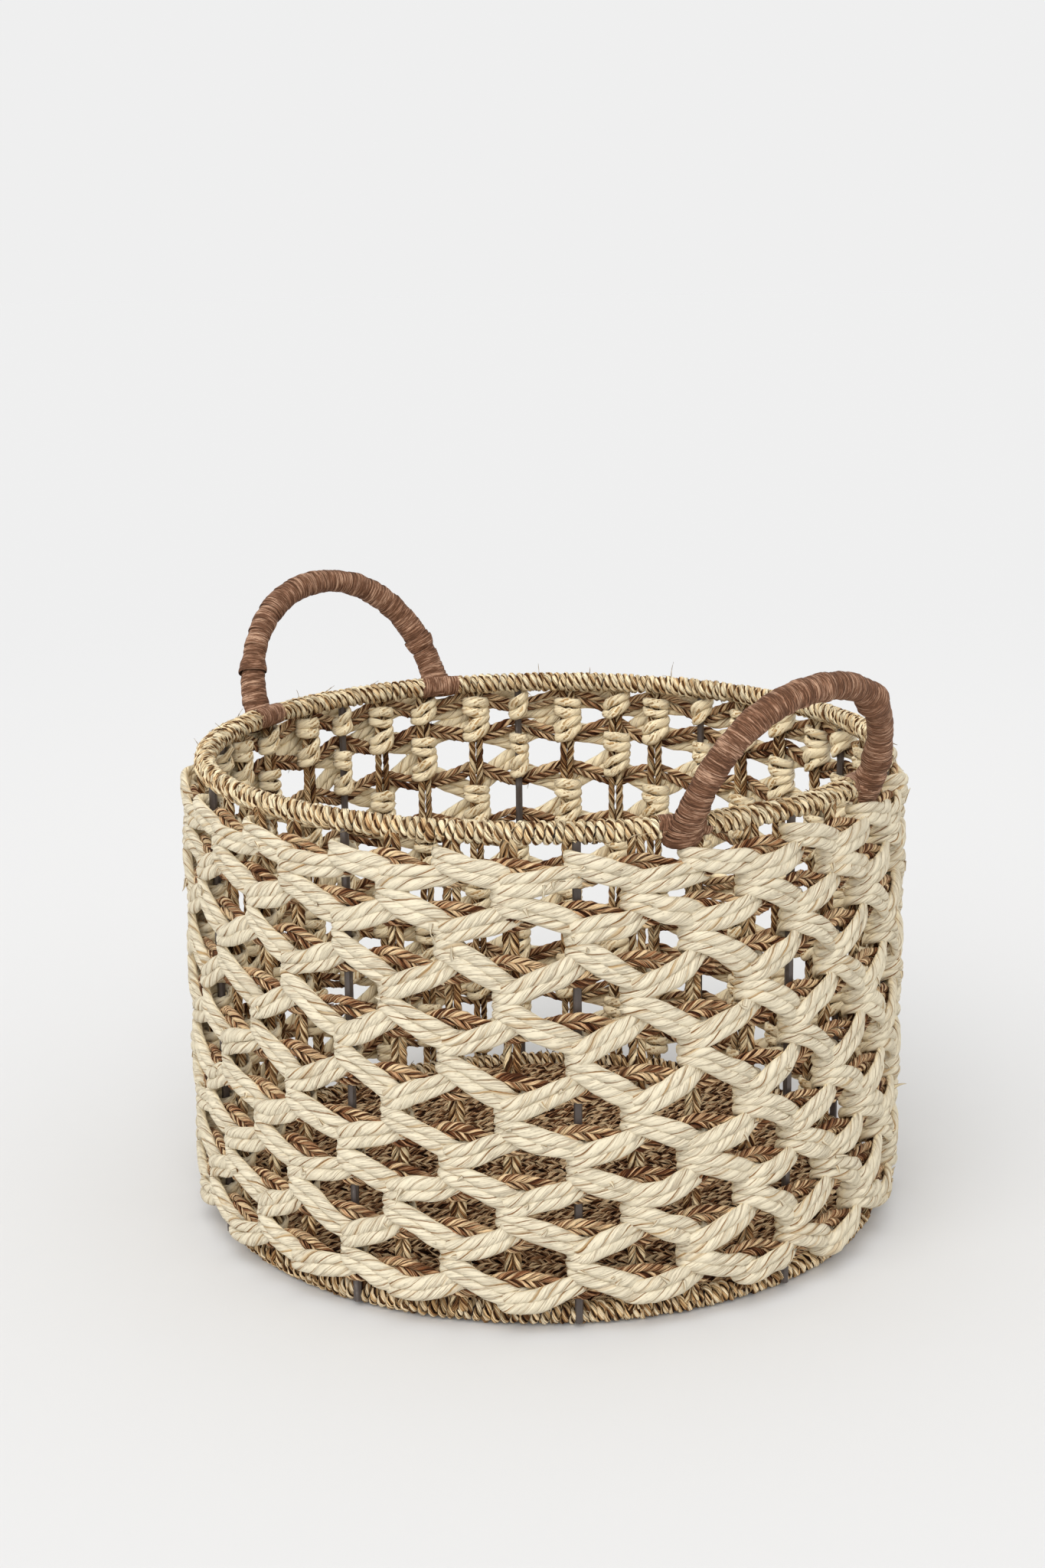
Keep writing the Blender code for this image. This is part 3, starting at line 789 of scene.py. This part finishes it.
class BASKET_OT_stakes(bpy.types.Operator):
    """Pairs of seagrass cord that stand between the uprights, from the foot rim to the top rim"""

    bl_idname = "basket.stakes"
    bl_label = "Stakes"

    def execute(self, context):
        sizes = context.scene.basket_sizes
        low, high = STAKE_ENDS
        for panel in range(WARPS // 4):
            rng = random.Random(300 + panel)
            paths = []
            for place in (1, 2, 3):
                warp = panel * 4 + place
                angle = STAKES[warp]
                for sign in (1, -1):
                    controls = []
                    lean = rng.uniform(-0.6, 0.6)
                    for part in range(10):
                        height = low + (high - low) * part / 9
                        side = sign * 2.5 + lean * math.sin(part * 0.8) + rng.uniform(-0.3, 0.3)
                        radius = STAKE_LINE + rng.uniform(-0.3, 0.3) + (0.9 if part == 9 else 0.0)
                        controls.append(spot(angle + side / STAKE_LINE, radius, height))
                    points = spaced(controls, STAKE_SPACING, False)
                    girth = 1 + wander(rng, len(points), 12, 0.1)
                    phase = rng.uniform(0, 6) + wander(rng, len(points), 14, 0.9)
                    paths.append(path(points, radial(points), False, float(sign), phase, girth, 0.88, 1.04))
            laid(f"stake_cords_{panel + 1:02d}", paths, "standing_seagrass", "stake_seagrass",
                 [f"stake_panel_{panel + 1:02d}"],
                 **rope_inputs(sizes.stake_cord, sizes.seagrass_turn, 5, panel + 40, 3))
        return {"FINISHED"}


def winding(rng, start, end, ring_radius, ring_height, coil_radius, pitch, spacing):
    """A cord wound round a ring from one angle to another, in degrees."""
    span = math.radians(end - start)
    turns = int(round(span * ring_radius / pitch))
    per_turn = max(8, int(round(math.tau * coil_radius / spacing)))
    count = turns * per_turn + 1
    part = np.linspace(0, 1, count)
    closed = end - start >= 359.9
    drift = wander(rng, count, max(6, turns // 3), 0.22 * pitch / ring_radius, closed)
    angle = math.radians(start) + span * part + drift
    around = math.tau * turns * part
    swell = coil_radius * (1 + wander(rng, count, max(8, turns), 0.07, closed))
    out = np.stack([np.cos(angle), np.sin(angle), np.zeros(count)], axis=1)
    away = out * np.cos(around)[:, None] + UP * np.sin(around)[:, None]
    points = out * ring_radius + UP * ring_height + away * swell[:, None]
    girth = 1 + wander(rng, count, turns * 2, 0.15, closed)
    phase = rng.uniform(0, 6) + wander(rng, count, turns * 2, 0.8, closed)
    if closed:
        points, away, girth, phase = points[:-1], away[:-1], girth[:-1], phase[:-1]
    return path(points, away, closed, 1.0, phase, girth, 0.92, 1.1)


class BASKET_OT_rims(bpy.types.Operator):
    """Seagrass cord wound closely round the top and bottom rings"""

    bl_idname = "basket.rims"
    bl_label = "Wound Rims"

    def execute(self, context):
        sizes = context.scene.basket_sizes
        left = HANDLES["left"]["half_angle"]
        right = HANDLES["right"]["half_angle"]
        edge = COLLAR_HALF_SPAN - 0.4
        arcs = {
            "right": (-right + edge, right - edge), "back": (right + edge, 180.0 - left - edge),
            "left": (180.0 - left + edge, 180.0 + left - edge), "front": (180.0 + left + edge, 360.0 - right - edge)}
        inputs = rope_inputs(sizes.rim_cord, 0.0115, seed=61)
        for number, (side, (start, end)) in enumerate(arcs.items()):
            rng = random.Random(400 + number)
            coil = winding(rng, start, end, TOP_RADIUS, TOP_HEIGHT, RIM_COIL * MM, sizes.rim_pitch, RIM_SPACING)
            place = rim_place(rng, start, end, TOP_RADIUS, TOP_HEIGHT, 6.0 * MM)
            loose = strays(rng, int((end - start) / 4.5), place)
            laid(f"rim_winding_{side}", [coil, *loose], "wound_golden_seagrass", "rim_seagrass",
                 [f"rim_wrap_{side}"], **inputs)
        rng = random.Random(450)
        coil = winding(rng, 0.0, 360.0, FOOT_LINE * MM, FOOT_HEIGHT + 0.6 * MM, FOOT_COIL * MM, sizes.rim_pitch,
                       RIM_SPACING)
        place = rim_place(rng, 0.0, 360.0, FOOT_LINE * MM, FOOT_HEIGHT + 2 * MM, 5.0 * MM, 0.1)
        loose = strays(rng, 90, place, 2.5, 6.0)
        laid("base_rim_winding", [coil, *loose], "foot_rim_seagrass", "rim_seagrass",
             ["base_rim_wrap"], **inputs)
        return {"FINISHED"}


class BASKET_OT_mat(bpy.types.Operator):
    """A flat mat of twisted cords laid side by side across the base"""

    bl_idname = "basket.mat"
    bl_label = "Base Mat"

    def execute(self, context):
        sizes = context.scene.basket_sizes
        rng = random.Random(500)
        reach = MAT_REACH * MM
        height = (MAT_LOW[2] + MAT_HIGH[2]) / 2
        turn = SIGHT + math.pi / 2
        u = np.array([math.cos(turn), math.sin(turn), 0.0])
        v = np.array([-math.sin(turn), math.cos(turn), 0.0])
        pitch = MAT_PITCH * MM
        count = int(2 * reach / pitch)
        paths = []
        for number in range(count):
            across = (number - (count - 1) / 2) * pitch
            half = math.sqrt(max(reach ** 2 - across ** 2, 0.0))
            if half < 6 * MM:
                continue
            steps = max(5, int(2 * half / (4.5 * MM)))
            at = np.linspace(-half, half, steps)
            wave = 0.75 * MM * np.sin(at / (6.2 * MM) * math.pi + math.pi * (number % 2))
            wave += wander(rng, steps, max(3, steps // 6), 0.5 * MM)
            sway = wander(rng, steps, max(3, steps // 5), 0.9 * MM)
            controls = at[:, None] * u + (across + sway)[:, None] * v
            controls[:, 2] = height + wave
            points = spaced(controls, MAT_SPACING, False)
            girth = 1 + wander(rng, len(points), max(4, len(points) // 4), 0.16)
            up = np.tile(UP, (len(points), 1))
            paths.append(path(points, up, False, 1.0 if rng.random() < 0.85 else -1.0, rng.uniform(0, 6), girth,
                              0.95, 1.12))
        laid("mat_cords", paths, "mat_cord_seagrass", "mat_seagrass", ["base_mat"],
             **rope_inputs(sizes.mat_cord, 0.015, sides=5, seed=71))
        return {"FINISHED"}


def arch(side, drop, steps=60):
    """The middle line of a handle, from one foot to the other."""
    facing, half_angle, lean = (math.radians(side[word]) for word in ("facing", "half_angle", "lean"))
    half_width = HANDLE_FOOT_RADIUS * math.sin(half_angle)
    reach = HANDLE_FOOT_RADIUS * math.cos(half_angle)
    t = np.linspace(0, math.pi, steps)
    across = half_width * np.sign(np.cos(t)) * np.abs(np.cos(t)) ** (2 / side["power"])
    up = side["height"] * np.sin(np.clip(t, 0, math.pi - 1e-9)) ** (2 / side["power"])
    across = np.concatenate([[half_width], across, [-half_width]])
    up = np.concatenate([[-drop / math.cos(lean)], up, [-drop / math.cos(lean)]])
    out = reach + up * math.sin(lean)
    height = TOP_HEIGHT + up * math.cos(lean)
    return np.stack([out * math.cos(facing) - across * math.sin(facing),
                     out * math.sin(facing) + across * math.cos(facing), height], axis=1)


# Where a handle's band steps up, as a part of its length, and by how many millimetres
STEPS = {"left": ((0.14, 1.5), (0.62, 0.8), (0.86, 1.6)), "right": ((0.10, 0.9), (0.30, 1.8), (0.72, 0.7))}


class BASKET_OT_handles(bpy.types.Operator):
    """Brown band wound in close overlapping turns round the handle rods and on round the rim at their feet"""

    bl_idname = "basket.handles"
    bl_label = "Handle Windings"

    def execute(self, context):
        sizes = context.scene.basket_sizes
        for number, (word, side) in enumerate(HANDLES.items()):
            rng = random.Random(600 + number)
            middle = spaced(arch(side, 6.5 * MM), HANDLE_SPACING, False)
            low = np.clip((TOP_HEIGHT + 14 * MM - middle[:, 2]) / (20 * MM), 0, 1)
            middle -= radial(middle) * (low ** 2 * 3.5 * MM)[:, None]
            along = tangents(middle, False)
            facing = math.radians(side["facing"])
            lean = math.radians(side["lean"])
            plane = np.array([math.cos(facing) * math.cos(lean), math.sin(facing) * math.cos(lean), -math.sin(lean)])
            first = np.tile(plane, (len(middle), 1))
            second = crossed(along, first)
            length = HANDLE_SPACING * (len(middle) - 1)
            turns = int(length / sizes.twine_pitch)
            count = turns * FINE_TURN + 1
            part = np.linspace(0, 1, count)
            at = np.clip(part + wander(rng, count, turns // 2, 0.004), 0, 1) * (len(middle) - 1)
            centre, out, flat, ahead = (
                np.stack([np.interp(at, range(len(middle)), block[:, n]) for n in range(3)], axis=1)
                for block in (middle, first, second, along))
            around = math.tau * turns * part
            foot = np.exp(-(np.minimum(part, 1 - part) * length / (9 * MM)) ** 1.4)
            radius = BAND_RADIUS * MM * (1 + wander(rng, count, turns, 0.07) + wander(rng, count, 11, 0.06))
            for step_at, rise in STEPS[word]:
                past = (part - step_at) * length / (9 * MM) * (1 if step_at < 0.5 else -1)
                radius += np.where((past > 0) & (past < 1), (1 - past) * rise * MM, 0)
            thick = radius + foot * 1.0 * MM
            wide = radius + foot * 5.5 * MM
            away = out * np.cos(around)[:, None] + flat * np.sin(around)[:, None]
            points = centre + out * (np.cos(around) * thick)[:, None] + flat * (np.sin(around) * wide)[:, None]
            tilt = away + ahead * (0.17 + wander(rng, count, turns, 0.10))[:, None]
            tilt /= np.linalg.norm(tilt, axis=1, keepdims=True)
            paths = [path(points, tilt, False, 0.0, 0.0, 1 + wander(rng, count, turns, 0.2))]
            for sign in (-1, 1):
                middle_angle = side["facing"] + sign * side["half_angle"]
                coil = winding(rng, middle_angle - COLLAR_HALF_SPAN, middle_angle + COLLAR_HALF_SPAN, TOP_RADIUS,
                               TOP_HEIGHT, COLLAR_COIL * MM, COLLAR_PITCH * MM, COLLAR_SPACING)
                coil["hand"][:] = 0.0
                coil["phase"][:] = 0.0
                coil["tag"][:] = 7.0 * sign
                paths.append(coil)
            laid(f"handle_winding_{word}", paths, "paper_band_twine", "handle_twine",
                 [f"handle_wrap_{word}"], Plies=1, Sides=10, Seed=80 + number,
                 **{"Lay Radius": 0.0, "Ply Depth": 0.75 * MM, "Ply Width": 3.4 * MM, "Turn Length": 0.1,
                    "Ruffle": 0.16 * MM, "Ruffle Scale": 300.0})
        return {"FINISHED"}


class BASKET_OT_frame_paint(bpy.types.Operator):
    """Dark paint on the rods of the frame"""

    bl_idname = "basket.frame_paint"
    bl_label = "Frame Paint"

    def execute(self, context):
        for name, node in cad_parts.items():
            if name.endswith("_ring") or name.startswith(("upright_", "handle_rod_")):
                node.data.materials.clear()
                node.data.materials.append(finishes()["painted_steel_rod"])
        return {"FINISHED"}


class BASKET_OT_stage(bpy.types.Operator):
    """Pale floor that meets a room of the same shade, with painted light lifting the floor near the basket; soft light
    and the camera
    """

    bl_idname = "basket.stage"
    bl_label = "Stage"

    def execute(self, context):
        scene = context.scene
        scene.view_settings.view_transform = "Standard"
        paper, sheet, shader = blank_finish("stage_paper")
        place = sheet.node("ShaderNodeTexCoord").outputs["Object"]
        cloud = sheet.noise(place, 2.5, 2.0)
        sheet.feed(shader.inputs["Roughness"], cloud.between(0.3, 0.7, 0.85, 0.95))
        # Painted light: the floor is a little lighter and warmer near the basket, fading to plain grey by 2.4 m, to
        # lift the shadow the basket casts around it.
        reach = sheet.vector("LENGTH", place).between(0.35, 2.4)
        sheet.feed(shader.inputs["Base Color"], sheet.mix(reach, (0.714, 0.712, 0.709), (0.688, 0.688, 0.688)))
        shader.inputs["Specular IOR Level"].default_value = 0.0
        side = Vector((math.cos(SIGHT + math.pi / 2), math.sin(SIGHT + math.pi / 2), 0.0))
        front = Vector((math.cos(SIGHT), math.sin(SIGHT), 0.0))
        count = FLOOR_SIDES
        around = [Matrix.Rotation(math.tau * n / count, 3, "Z") @ Vector((1.0, 0.0, 0.0)) for n in range(count)]
        points = [Vector()] + [ray * reach for reach in FLOOR_RADII for ray in around]
        inner = [(1 + n, 1 + (n + 1) % count) for n in range(count)]
        faces = [(0, here, beside) for here, beside in inner]
        faces += [(here, here + count, beside + count, beside) for here, beside in inner]
        paper_floor = bpy.data.meshes.new("stage_floor")
        paper_floor.from_pydata(points, [], faces)
        paper_floor.materials.append(paper)
        floor = bpy.data.objects.new("stage_floor", paper_floor)
        scene.collection.objects.link(floor)
        world = bpy.data.worlds.new("soft_room")
        world.use_nodes = True
        scene.world = world
        ambient = world.node_tree.nodes["Background"]
        ambient.inputs["Color"].default_value = (1.0, 1.0, 1.0, 1.0)
        ambient.inputs["Strength"].default_value = 0.864
        aim = Vector((0.0, 0.0, 0.15))
        for name, place, angle, strength in (
            ("key_light", front * 1.0 - side * 0.35 + Vector((0, 0, 0.95)), 60.0, 1.7),
            ("fill_light", front * 1.0 + side * 0.5 + Vector((0, 0, 0.5)), 60.0, 0.25),
        ):
            data = bpy.data.lights.new(name, "SUN")
            data.angle = math.radians(angle)
            data.energy = strength
            lamp = bpy.data.objects.new(name, data)
            lamp.location = aim + place * 2
            lamp.rotation_euler = (-place).to_track_quat("-Z", "Y").to_euler()
            scene.collection.objects.link(lamp)
        camera()
        return {"FINISHED"}


def camera():
    """The camera, turned by its yaw, its tilt and a small roll."""
    distance, height = 1.4477, 0.6120
    turn = math.radians(49.27)
    yaw, tilt, roll = math.radians(-0.508), math.radians(13.640), math.radians(-0.647)
    ahead = Vector((math.sin(yaw) * math.cos(tilt), math.cos(yaw) * math.cos(tilt), -math.sin(tilt)))
    right = Vector((math.cos(yaw), -math.sin(yaw), 0.0))
    up = right.cross(ahead)
    right, up = (right * math.cos(roll) + up * math.sin(roll), up * math.cos(roll) - right * math.sin(roll))
    axes = Matrix((right, up, -ahead)).transposed()
    spin = Matrix.Rotation(turn, 3, "Z")
    data = bpy.data.cameras.new("camera")
    data.lens = 55.82
    data.sensor_width = 36.0
    data.dof.use_dof = False
    made = bpy.data.objects.new("camera", data)
    made.matrix_world = Matrix.Translation(spin @ Vector((0.0, -distance, height))) @ (spin @ axes).to_4x4()
    bpy.context.scene.collection.objects.link(made)
    bpy.context.scene.camera = made


class BASKET_PT_panel(bpy.types.Panel):
    """Lists the basket's pieces, sizes and colours"""

    bl_idname = "BASKET_PT_panel"
    bl_label = "Laundry Basket"
    bl_space_type = "VIEW_3D"
    bl_region_type = "UI"
    bl_category = "Basket"

    def draw(self, context):
        for group in (context.scene.basket_sizes, context.scene.basket_colours):
            box = self.layout.box()
            for word in group.__annotations__:
                box.prop(group, word)
        for kind in OPERATORS:
            self.layout.operator(kind.bl_idname)


OPERATORS = (
    BASKET_OT_frame_paint, BASKET_OT_mat, BASKET_OT_stakes, BASKET_OT_brown_rows, BASKET_OT_cream_rows,
    BASKET_OT_rims, BASKET_OT_handles, BASKET_OT_stage)
CLASSES = (BasketSizes, BasketColours, *OPERATORS, BASKET_PT_panel)


def register():
    for kind in CLASSES:
        bpy.utils.register_class(kind)
    bpy.types.Scene.basket_sizes = bpy.props.PointerProperty(type=BasketSizes)
    bpy.types.Scene.basket_colours = bpy.props.PointerProperty(type=BasketColours)


def unregister():
    del bpy.types.Scene.basket_sizes
    del bpy.types.Scene.basket_colours
    for kind in reversed(CLASSES):
        bpy.utils.unregister_class(kind)


def plain(box):
    return [[float(part) for part in corner] for corner in box]


def main():
    register()
    for kind in OPERATORS:
        group, word = kind.bl_idname.split(".")
        getattr(getattr(bpy.ops, group), word)()


if __name__ == "__main__":
    main()
